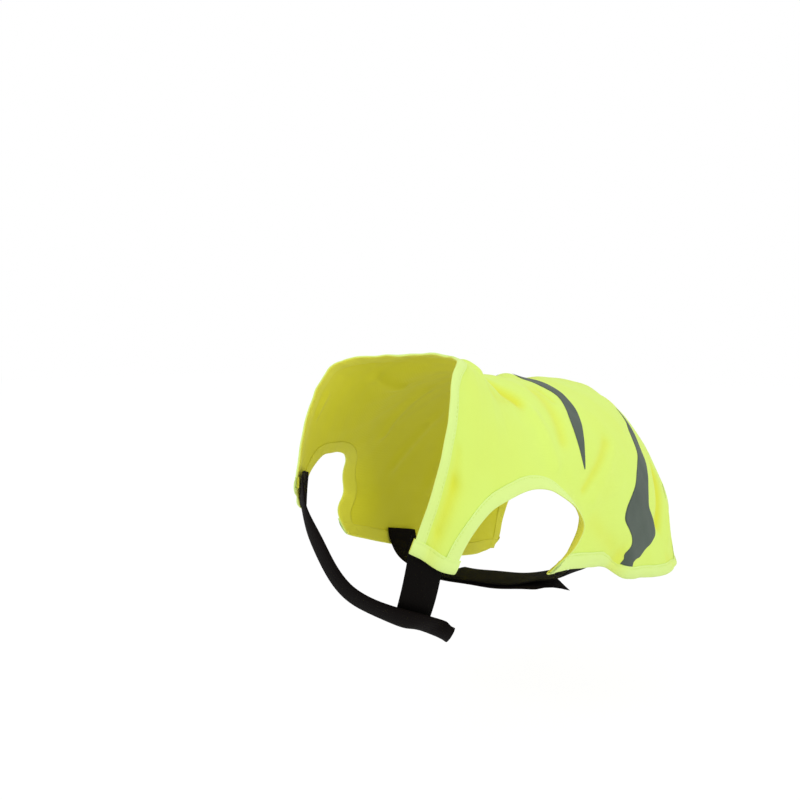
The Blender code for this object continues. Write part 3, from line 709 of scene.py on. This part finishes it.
def face_out(piece):
    """Turns an open sheet's faces away from the hollow."""
    middle = Vector((0.0, 0.0, HOLLOW_MIDDLE_Z)) * MM
    outward = sum(face.normal.dot(face.center - middle) * face.area for face in piece.data.polygons)
    if outward < 0:
        piece.data.flip_normals()


def tube(name, rings, finish, uv, **marks):
    """A closed piece from rings of points, capped at both ends."""
    count, size = rings.shape[:2]
    faces = grid_faces(count, size, ring=True)
    faces += [list(range(size)), list(range((count - 1) * size, count * size))]
    piece = sew(name, rings.reshape(-1, 3), faces, finish, uv.reshape(-1, 2), **marks)
    tidy(piece)
    return piece


# ---------------------------------------------------------------- materials
def paint(code):
    """Linear colour of an sRGB hex value."""
    parts = [int(code[i:i + 2], 16) / 255 for i in (0, 2, 4)]
    return (*[v / 12.92 if v <= 0.04045 else ((v + 0.055) / 1.055) ** 2.4 for v in parts], 1.0)


def add(tree, kind, links=(), **settings):
    """One node with its settings, its inputs' values and its links."""
    node = tree.nodes.new(kind)
    for name, value in settings.items():
        if hasattr(node, name):
            setattr(node, name, value)
        else:
            node.inputs[name.replace("_", " ")].default_value = value
    for socket, source in links:
        tree.links.new(source, node.inputs[socket])
    return node


def new_material(name, colour, roughness):
    """A material with a Principled shader, its tree and that shader."""
    made = bpy.data.materials.new(name)
    made.use_nodes = True
    tree = made.node_tree
    shader = tree.nodes["Principled BSDF"]
    shader.inputs["Base Color"].default_value = paint(colour)
    shader.inputs["Roughness"].default_value = roughness
    return made, tree, shader


ONE_RIB = 0.159            # the wave texture's scale that draws one rib for each repeat


def cloth_pattern(tree, scale_u, scale_v):
    """The cloth's own coordinates, scaled so that 1 is one repeat each way."""
    uv = add(tree, "ShaderNodeUVMap", uv_map="cloth")
    return add(tree, "ShaderNodeMapping", [("Vector", uv.outputs["UV"])],
               Scale=(1000 / scale_u, 1000 / scale_v, 1.0)).outputs["Vector"]


def knit_cloth(name, lit, deep, painted_inner_shade, wale, course, depth):
    """Warp-knit polyester: matt, soft, with fine ribs.  Its colour is painted deeper in the creases
    and on the inner face, as painted shade."""
    made, tree, shader = new_material(name, lit, 0.8)
    shader.inputs["Specular IOR Level"].default_value = 0.2
    shader.inputs["Sheen Weight"].default_value = 0.1
    shader.inputs["Sheen Roughness"].default_value = 0.45
    # Painted shade: the colour turns towards the deep colour with a crease's depth, and a little at random,
    # and to the painted inner shade on the inner face
    hollow = add(tree, "ShaderNodeAttribute", attribute_name="hollow")
    inside = add(tree, "ShaderNodeAttribute", attribute_name="inside")
    place = add(tree, "ShaderNodeTexCoord").outputs["Object"]
    cloud = add(tree, "ShaderNodeTexNoise", [("Vector", place)], Scale=14.0, Detail=2.0, Roughness=0.5)
    drift = add(tree, "ShaderNodeMapRange", [("Value", cloud.outputs["Fac"])],
                From_Min=0.35, From_Max=0.75, To_Min=0.0, To_Max=0.22)
    share = add(tree, "ShaderNodeMath", [(0, hollow.outputs["Fac"]), (1, drift.outputs["Result"])],
                operation="ADD", use_clamp=True)
    outer_with_painted_shade = add(tree, "ShaderNodeMix", [("Factor", share.outputs[0])], data_type="RGBA")
    outer_with_painted_shade.inputs["A"].default_value = paint(lit)
    outer_with_painted_shade.inputs["B"].default_value = paint(deep)
    colour = add(tree, "ShaderNodeMix", [("Factor", inside.outputs["Fac"]),
                                         ("A", outer_with_painted_shade.outputs["Result"])], data_type="RGBA")
    colour.inputs["B"].default_value = paint(painted_inner_shade)
    tree.links.new(colour.outputs["Result"], shader.inputs["Base Color"])
    ribs = add(tree, "ShaderNodeTexWave", [("Vector", cloth_pattern(tree, wale, course))],
               wave_type="BANDS", bands_direction="X", Scale=ONE_RIB, Distortion=1.2, Detail=1.0)
    bump = add(tree, "ShaderNodeBump", [("Height", ribs.outputs["Fac"])], Strength=0.25,
               Distance=depth * MM)
    tree.links.new(bump.outputs["Normal"], shader.inputs["Normal"])
    return made


def film_finish():
    """Heat-set retroreflective film: grey glass beads under a satin skin, with faint wrinkles."""
    made, tree, shader = new_material("retroreflective_film", "4e5a50", 0.58)
    shader.inputs["Specular IOR Level"].default_value = 0.25
    place = add(tree, "ShaderNodeTexCoord").outputs["Object"]
    cloud = add(tree, "ShaderNodeTexNoise", [("Vector", place)], Scale=28.0, Detail=3.0, Roughness=0.55)
    colour = add(tree, "ShaderNodeMix", [("Factor", cloud.outputs["Fac"])], data_type="RGBA")
    colour.inputs["A"].default_value = paint("414c43")
    colour.inputs["B"].default_value = paint("556257")
    tree.links.new(colour.outputs["Result"], shader.inputs["Base Color"])
    # Beads are far finer than they can show, so the grain is drawn at 0.6 mm
    beads = add(tree, "ShaderNodeTexNoise", [("Vector", place)], Scale=1600.0, Detail=1.0)
    wrinkles = add(tree, "ShaderNodeTexNoise", [("Vector", cloth_pattern(tree, 9.0, 3.0))],
                   Scale=1.0, Detail=3.0, Roughness=0.6)
    height = add(tree, "ShaderNodeMath", [(0, wrinkles.outputs["Fac"]), (2, beads.outputs["Fac"])],
                 operation="MULTIPLY_ADD")
    height.inputs[1].default_value = 6.0
    bump = add(tree, "ShaderNodeBump", [("Height", height.outputs[0])], Strength=0.2, Distance=0.05 * MM)
    tree.links.new(bump.outputs["Normal"], shader.inputs["Normal"])
    return made


def tape_finish(name, colour, light, pile):
    """Black nylon hook-and-loop tape: woven ground under short pile, dull with a little fuzz."""
    made, tree, shader = new_material(name, colour, 0.85)
    shader.inputs["Specular IOR Level"].default_value = 0.05
    shader.inputs["Sheen Weight"].default_value = 0.01
    place = add(tree, "ShaderNodeTexCoord").outputs["Object"]
    fuzz = add(tree, "ShaderNodeTexNoise", [("Vector", place)], Scale=1000 / pile, Detail=3.0, Roughness=0.65)
    tint = add(tree, "ShaderNodeMix", [("Factor", fuzz.outputs["Fac"])], data_type="RGBA")
    tint.inputs["A"].default_value = paint(colour)
    tint.inputs["B"].default_value = paint(light)
    tree.links.new(tint.outputs["Result"], shader.inputs["Base Color"])
    rows = add(tree, "ShaderNodeTexWave", [("Vector", cloth_pattern(tree, 1.6, 1.6))],
               wave_type="BANDS", bands_direction="Y", Scale=ONE_RIB, Distortion=0.8, Detail=1.0)
    height = add(tree, "ShaderNodeMath", [(0, rows.outputs["Fac"]), (2, fuzz.outputs["Fac"])],
                 operation="MULTIPLY_ADD")
    height.inputs[1].default_value = 0.35
    bump = add(tree, "ShaderNodeBump", [("Height", height.outputs[0])], Strength=0.5, Distance=0.25 * MM)
    tree.links.new(bump.outputs["Normal"], shader.inputs["Normal"])
    return made


# Each cloth's colours: lit face, painted shade of its creases, painted shade of its inner face
KNIT = knit_cloth("fluorescent_knit", "dcf674", "dfe844", "e2df3a", 1.1, 1.5, 0.12)
BINDING = knit_cloth("fluorescent_binding_tape", "def894", "e0ee62", "e4e24a", 0.9, 1.2, 0.10)
FILM = film_finish()
TAPE_LOOP = tape_finish("black_loop_tape", "060302", "0d0706", 0.9)
TAPE_HOOK = tape_finish("black_hook_tape", "080605", "12100e", 0.7)
THREAD = new_material("polyester_thread", "d9f07a", 0.6)[0]

HOLLOW_FULL = 3.2          # mm of crease depth at which the painted crease shade is at its deepest


def hollow_at(place, side):
    """How deep in a crease a place lies, 0 to 1: the share of painted shade there."""
    return np.clip(-creases(place[..., 0], side * place[..., 1]) / HOLLOW_FULL, 0, 1)


def flat_uv(place, side):
    """A place's own coordinates on the flat cloth, about in mm."""
    return np.stack([side * place[..., 1] * GIRTH_STEP, place[..., 0] * SECTION_STEP], -1)


# ---------------------------------------------------------------- the pieces
def make_panel():
    """The back panel, both halves in one, its outer and inner faces joined round the edge."""
    grid = panel_grid()
    rows, columns = grid.shape[:2]
    index = np.arange(rows * columns).reshape(rows, columns)
    neck_end, rear_start = NECK_CELLS, NECK_CELLS + SPINE_CELLS
    rim = np.concatenate([index[neck_end:0:-1, -1], index[0, ::-1], index[1:, 0], index[-1, 1:],
                          index[-2:rear_start - 1:-1, -1]])
    points, faces, uv, hollow, inside = [], [], [], [], []
    for side in (LEFT, RIGHT):
        start = grid[..., 0].size * len(points)
        for layer, lift in enumerate((PANEL_LIFT + PANEL_WALL / 2, PANEL_LIFT - PANEL_WALL / 2)):
            faces += grid_faces(rows, columns, start=start + layer * grid[..., 0].size)
            points.append(cloth(grid, lift, side).reshape(-1, 3))
            uv.append(flat_uv(grid, side).reshape(-1, 2))
            # Marks for the painted shade of the creases and of the inner face
            hollow.append(hollow_at(grid, side).ravel())
            inside.append(np.full(rows * columns, float(layer)))
        outer, inner = rim + start, rim + start + rows * columns
        faces += np.stack([outer[:-1], outer[1:], inner[1:], inner[:-1]], -1).tolist()
    piece = sew("vest_back_panel", np.concatenate(points), faces, KNIT, np.concatenate(uv),
                hollow=np.concatenate(hollow), inside=np.concatenate(inside))
    tidy(piece, weld=0.02)
    return piece


def band_rings(row_at, side, thicker=None, start_edge=None, lip=1.0):
    """Rings of points round a folded band, with their cloth coordinates.
    row_at gives its places at a distance from the free edge, thicker a factor for each
    station's thickness, start_edge how far in the free edge lies at each station, and lip
    the outer face's width as a share of the inner face's."""
    rows = np.stack([row_at(distance) for distance in BAND_DISTANCES])
    stations = rows.shape[1]
    thicker = np.ones(stations) if thicker is None else thicker
    start_edge = np.zeros(stations) if start_edge is None else start_edge
    from_edge, height = BAND_PROFILE.T
    around = lengths(BAND_PROFILE)
    lip = np.broadcast_to(lip, stations)
    far = lengths(figure(rows[1][:, 0], rows[1][:, 1]))
    rings, uv, hollow, inside = [], [], [], []
    for i in range(stations):
        at = np.where(height > 0, from_edge * lip[i], from_edge)
        at = start_edge[i] + at * (BAND_WIDTH - start_edge[i]) / BAND_WIDTH
        place = np.stack([np.interp(at, BAND_DISTANCES, rows[:, i, k]) for k in (0, 1)], -1)
        pucker = band_pucker(far[i]) * (1 - from_edge / BAND_WIDTH * 0.5)
        rings.append(cloth(place, PANEL_LIFT + height * thicker[i] + pucker, side))
        uv.append(np.stack([np.full(len(around), far[i]), around], -1))
        # Marks for painted shade: how deep in a crease, and the inner face below the fold
        hollow.append(hollow_at(place, side))
        inside.append(soft_step(0.5 - height / INNER_SHADE_BELOW))
    return np.stack(rings), np.stack(uv), np.stack(hollow), np.stack(inside)


def band_pucker(far):
    """Slight rise and fall of a sewn band along its length."""
    drift = PUCKER_DRIFT * np.sin(far / DRIFT_EVERY)
    return PUCKER * np.sin(far / PUCKER_EVERY + drift) + SWELL * np.sin(far / SWELL_EVERY + SWELL_START)


def covering(far):
    """How much thicker a hem is along its length, over the bindings' ends."""
    inner = np.minimum(far, far[-1] - far)
    past = soft_step((inner - COVER_LENGTH + COVER_FADE / 2) / COVER_FADE)
    return 1 + (HEM_OVER_BINDING - 1) * (1 - past)


def both_halves(left, right):
    """One band's rings from its left half, ending at the spine, and its right half."""
    return tuple(np.concatenate([a, b[::-1][1:]]) for a, b in zip(left, right))


def make_stitches(name, row, side, lift):
    """A line of stitches along a row of places, each a thread that dips in at its ends."""
    points = cloth(row, lift, side)
    far = lengths(points)
    count = int(far[-1] / STITCH_PITCH)
    middles = (np.arange(count) + 0.5) * far[-1] / count
    bpy.ops.object.select_all(action="DESELECT")
    bpy.ops.mesh.primitive_uv_sphere_add(segments=6, ring_count=5, radius=0.5, location=(0, 0, 0),
                                         rotation=(0, np.pi / 2, 0))
    seed = bpy.context.object
    bpy.ops.object.transform_apply(location=False, rotation=True, scale=False)
    shape = np.array([v.co for v in seed.data.vertices])
    faces = [list(p.vertices) for p in seed.data.polygons]
    bpy.data.objects.remove(seed)
    section, girth = worn(row, side)
    normals = axes(section, girth)[2]
    places, all_faces = [], []
    for k, middle in enumerate(middles):
        origin, up = (np.array([np.interp(middle, far, column) for column in block.T])
                      for block in (points, normals))
        ahead = np.array([np.interp(middle + 0.5, far, column) for column in points.T]) - origin
        ahead = ahead / np.linalg.norm(ahead)
        across = np.cross(up, ahead)
        x, y, z = shape.T
        sag = -STITCH_SAG * (2 * x) ** 2
        places.append(origin + np.outer(x * STITCH_LENGTH, ahead) + np.outer(y * STITCH_WIDTH, across)
                      + np.outer(z * STITCH_WIDTH + sag, up))
        all_faces += [[index + k * len(shape) for index in face] for face in faces]
    piece = sew(name, np.concatenate(places), all_faces, THREAD)
    tidy(piece)
    return piece


def stripe_piece(name, table, side, step_rows, across=16, along=160):
    """A stripe of film laid on the panel, its foot tucked under the hem's fold.
    Between the last step_rows of its table the outline runs straight, the rest is smooth."""
    at = np.linspace(table[0, 0], table[-1, 0], along + 1)
    fine = np.interp(at, table[:, 0], table[:, 1]), np.interp(at, table[:, 0], table[:, 2])
    smooth = spline(table[:, 0], table, at)
    step = table[:, 0].searchsorted(at) > len(table) - step_rows
    front, rear = (np.where(step, a, b) for a, b in zip(fine, smooth[:, 1:].T))
    share = np.linspace(0, 1, across + 1)
    section = front[:, None] * (1 - share) + rear[:, None] * share
    place = np.stack([section, np.repeat(at[:, None], across + 1, 1)], -1)
    hem = inset(FLANK, FILM_FOOT)
    for column in range(across + 1):
        line = place[:, column].copy()
        over = line[:, 1] - np.interp(line[:, 0], hem[:, 0], hem[:, 1])
        rows = np.arange(along + 1)[-FILM_FOOT_ROWS:]
        last = np.interp(0, over[-FILM_FOOT_ROWS:], rows) if over[-1] > 0 else along
        stations = np.linspace(0, last, along + 1)
        place[:, column] = np.stack([np.interp(stations, np.arange(along + 1), part)
                                     for part in line.T], -1)
    lift = PANEL_LIFT + PANEL_WALL / 2 + FILM_WALL / 2 + FILM_CLEAR
    lift = lift + FILM_SPINE_CLEAR * (1 - soft_step(place[..., 1] / FILM_SPINE_REACH))
    piece = sew(name, cloth(place, lift, side).reshape(-1, 3), grid_faces(along + 1, across + 1), FILM,
                flat_uv(place, side).reshape(-1, 2))
    face_out(piece)
    give_wall(piece, FILM_WALL)
    return piece


def strap_piece(name, table, width, finish, peel=0.0):
    """A flat strap along its route, with thin woven edges and square-cut ends.
    The right corner of its last end may peel away from what it lies on."""
    route = walk(trace(table), STRAP_STEPS)
    far = lengths(figure(route[:, 0], route[:, 1]))
    near_end = np.clip(1 - (far[-1] - far) / PEEL_LENGTH, 0, 1) ** PEEL_ALONG
    top, bottom = [], []
    for share, thickness in STRAP_PROFILE:
        reach, wall = share * width / 2, thickness * STRAP_WALL / 2
        section, girth, lift, tilt = shift(route, reach).T
        wave = STRAP_WAVE * np.sin(far / WAVE_ALONG + reach / WAVE_ACROSS)
        rise = lift + reach * np.sin(np.radians(tilt)) + wave
        rise = rise + peel * near_end * ((1 - share) / 2) ** PEEL_ACROSS
        middle, out = figure(section, girth), axes(section, girth)[2]
        top.append(middle + out * (rise + wall)[:, None])
        bottom.append(middle + out * (rise - wall)[:, None])
    rings = np.stack(top + bottom[::-1], 1)
    around = lengths(rings[0])
    uv = np.stack(np.broadcast_arrays(far[:, None], around[None]), -1)
    return tube(name, rings, finish, uv)


def dress(piece, slot, *nodes):
    """Puts a piece on the one body, in place of its CAD nodes."""
    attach(piece, "root")
    if nodes:
        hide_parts(*nodes)
    return piece


def put_on_band(name, folded, seams):
    """Puts on a folded band from its rings and marks, and then its seams, each with a name,
    a row of places, a side and a lift."""
    rings, uv, hollow, inside = folded
    band = dress(tube(f"vest_{name}", rings, BINDING, uv, hollow=hollow, inside=inside),
                 "fluorescent_binding", name)
    threads = [dress(make_stitches(*seam), "fluorescent_binding") for seam in seams]


SIDES = ((LEFT, "left"), (RIGHT, "right"))

panel = dress(make_panel(), "fluorescent_polyester", "back_panel")

# Bindings and the rear hem
neck = both_halves(*(band_rings(lambda d: neck_row(d, BINDING_FOOT, NECK_STEPS), side, lip=NECK_LIP)
                     for side in (LEFT, RIGHT)))
rear = both_halves(*(tuple(part[::-1] for part in band_rings(
    lambda d: rear_row(d, UNDER_HEM, REAR_STEPS), side)) for side in (LEFT, RIGHT)))
for name, folded, seam, flat_length in (
        ("neck_binding", neck, neck_row(SEAM_AT * NECK_LIP, UNDER_HEM, NECK_STEPS), 0.340),
        ("rear_hem", rear, rear_row(SEAM_AT, UNDER_HEM, REAR_STEPS), 0.370)):
    put_on_band(name, folded, [
        (f"{name}_stitches_{word}", seam, side, SEAM_LIFT) for side, word in SIDES])

for side, word in SIDES:
    put_on_band(f"armhole_binding_{word}",
                band_rings(lambda d: armhole_row(d, BINDING_FOOT, ARMHOLE_STEPS), side),
                [(f"armhole_stitches_{word}", armhole_row(SEAM_AT, UNDER_HEM, ARMHOLE_STEPS), side,
                  SEAM_LIFT)])

    for name, foot, edges, past, steps, flat_length in (
            ("tab_hem", TAB, (NECK, ARMHOLE), 0.8, TAB_STEPS, 0.035),
            ("flank_hem", FLANK, (ARMHOLE, REAR), 0.0, FLANK_STEPS, 0.250)):
        row = foot_row(foot, 0.0, edges, past, steps)
        far = lengths(figure(row[:, 0], row[:, 1]))
        left_over = np.clip(REAR_CORNER - (far[-1] - far), 0, REAR_CORNER)
        rounding = REAR_CORNER - np.sqrt(REAR_CORNER ** 2 - left_over ** 2)
        lip = np.interp(far, *HEM_LIP.T) if name == "flank_hem" else np.ones(len(far))
        folded = band_rings(
            lambda d: foot_row(foot, d, edges, past, steps), side, thicker=covering(far),
            start_edge=rounding if name == "flank_hem" else None, lip=lip)
        edge_row, seam = (foot_row(foot, distance, edges, -1.0, steps) for distance in (0.0, SEAM_AT))
        seam = edge_row + (seam - edge_row) * lip[:, None]
        put_on_band(f"{name}_{word}", folded,
                    [(f"{name}_stitches_{word}", seam, side, HEM_SEAM_LIFT)])

    for name, table, step_rows, size, area in (
            ("front_stripe", FRONT_STRIPE, 0, (0.024, 0.130), 0.00145),
            ("rear_stripe", REAR_STRIPE, 4, (0.052, 0.170), 0.0041)):
        stripe = dress(stripe_piece(f"vest_{name}_{word}", table, side, step_rows), "reflective_film",
                       f"{name}_{word}")

for name, table, width, finish, flat_length, peel in (
        ("chest_strap_left", CHEST_STRAP_LEFT, CHEST_STRAP_WIDTH, TAPE_HOOK, 0.068, 0.0),
        ("chest_strap_right", CHEST_STRAP_RIGHT, CHEST_STRAP_WIDTH, TAPE_LOOP, 0.186, 0.0),
        ("belly_strap_left", BELLY_STRAP_LEFT, BELLY_STRAP_WIDTH, TAPE_HOOK, 0.140, 0.0),
        ("belly_strap_right", BELLY_STRAP_RIGHT, BELLY_STRAP_WIDTH, TAPE_LOOP, 0.175, PEEL_HEIGHT)):
    strap = dress(strap_piece(f"vest_{name}", table, width, finish, peel=peel), "black_hook_and_loop", name)

# ---------------------------------------------------------------- studio
FLOOR_Z, FLOOR_SIZE = -0.2605, 12.0
FLOOR_GLOW, FLOOR_GLOW_SHARE = 1.06, 0.86    # how brightly the floor shows, and how much of it so
WORLD_LIGHT, WORLD_SHOWN = 0.69, 1.0
LAMPS_AIM = (0, -0.03, -0.06)
CAMERA_AT = (0.4069, -0.8134, 0.0315)
CAMERA_AZIMUTH, CAMERA_DOWN = 33.0, 3.19

bpy.ops.object.select_all(action="DESELECT")
bpy.ops.object.camera_add(location=CAMERA_AT,
                          rotation=(np.radians(90 - CAMERA_DOWN), 0.0, np.radians(CAMERA_AZIMUTH)))
camera = bpy.context.object
camera.data.lens = 50.0
camera.data.sensor_width = 36.0
bpy.context.scene.camera = camera


def seen_directly(tree):
    """1 for rays from the camera, and for mirrored or transmitted ones, else 0."""
    path = add(tree, "ShaderNodeLightPath")
    first = add(tree, "ShaderNodeMath", [(0, path.outputs["Is Camera Ray"]),
                                         (1, path.outputs["Is Glossy Ray"])], operation="MAXIMUM")
    return add(tree, "ShaderNodeMath", [(0, first.outputs[0]), (1, path.outputs["Is Transmission Ray"])],
               operation="MAXIMUM").outputs[0]


def make_floor():
    """A white floor that shows white, with a share of its shading for the soft shadow."""
    bpy.ops.object.select_all(action="DESELECT")
    bpy.ops.mesh.primitive_plane_add(size=FLOOR_SIZE, location=(0, 0, FLOOR_Z))
    floor = bpy.context.object
    floor.name = "studio_floor"
    made, tree, shader = new_material("white_studio_floor", "f4f4f4", 0.9)
    shown = add(tree, "ShaderNodeEmission", Strength=FLOOR_GLOW)
    seen = seen_directly(tree)
    share = add(tree, "ShaderNodeMath", [(0, seen)], operation="MULTIPLY")
    share.inputs[1].default_value = FLOOR_GLOW_SHARE
    mix = add(tree, "ShaderNodeMixShader", [(0, share.outputs[0]), (1, shader.outputs[0]),
                                            (2, shown.outputs[0])])
    tree.links.new(mix.outputs[0], tree.nodes["Material Output"].inputs["Surface"])
    floor.data.materials.append(made)


def make_world():
    """Even white surroundings, shown as plain white."""
    world = bpy.data.worlds.new("studio")
    bpy.context.scene.world = world
    world.use_nodes = True
    tree = world.node_tree
    ground = tree.nodes["Background"]
    seen = seen_directly(tree)
    strength = add(tree, "ShaderNodeMapRange", [("Value", seen)], To_Min=WORLD_LIGHT,
                   To_Max=WORLD_SHOWN)
    ground.inputs["Color"].default_value = (1, 1, 1, 1)
    tree.links.new(strength.outputs["Result"], ground.inputs["Strength"])


def add_lamp(name, place, aim, size, energy):
    """A square soft lamp turned towards a point."""
    bpy.ops.object.light_add(type="AREA", location=place)
    lamp = bpy.context.object
    lamp.name = name
    lamp.data.shape = "SQUARE"
    lamp.data.size = size
    lamp.data.energy = energy
    turn = (Vector(aim) - Vector(place)).to_track_quat("-Z", "Y")
    lamp.rotation_euler = turn.to_euler()


make_floor()
make_world()
add_lamp("key", (-0.4, -1.5, 1.5), LAMPS_AIM, 1.1, 11.5)
add_lamp("fill", (1.8, 0.1, 0.7), LAMPS_AIM, 1.3, 9.5)
bpy.context.scene.view_settings.view_transform = "Standard"
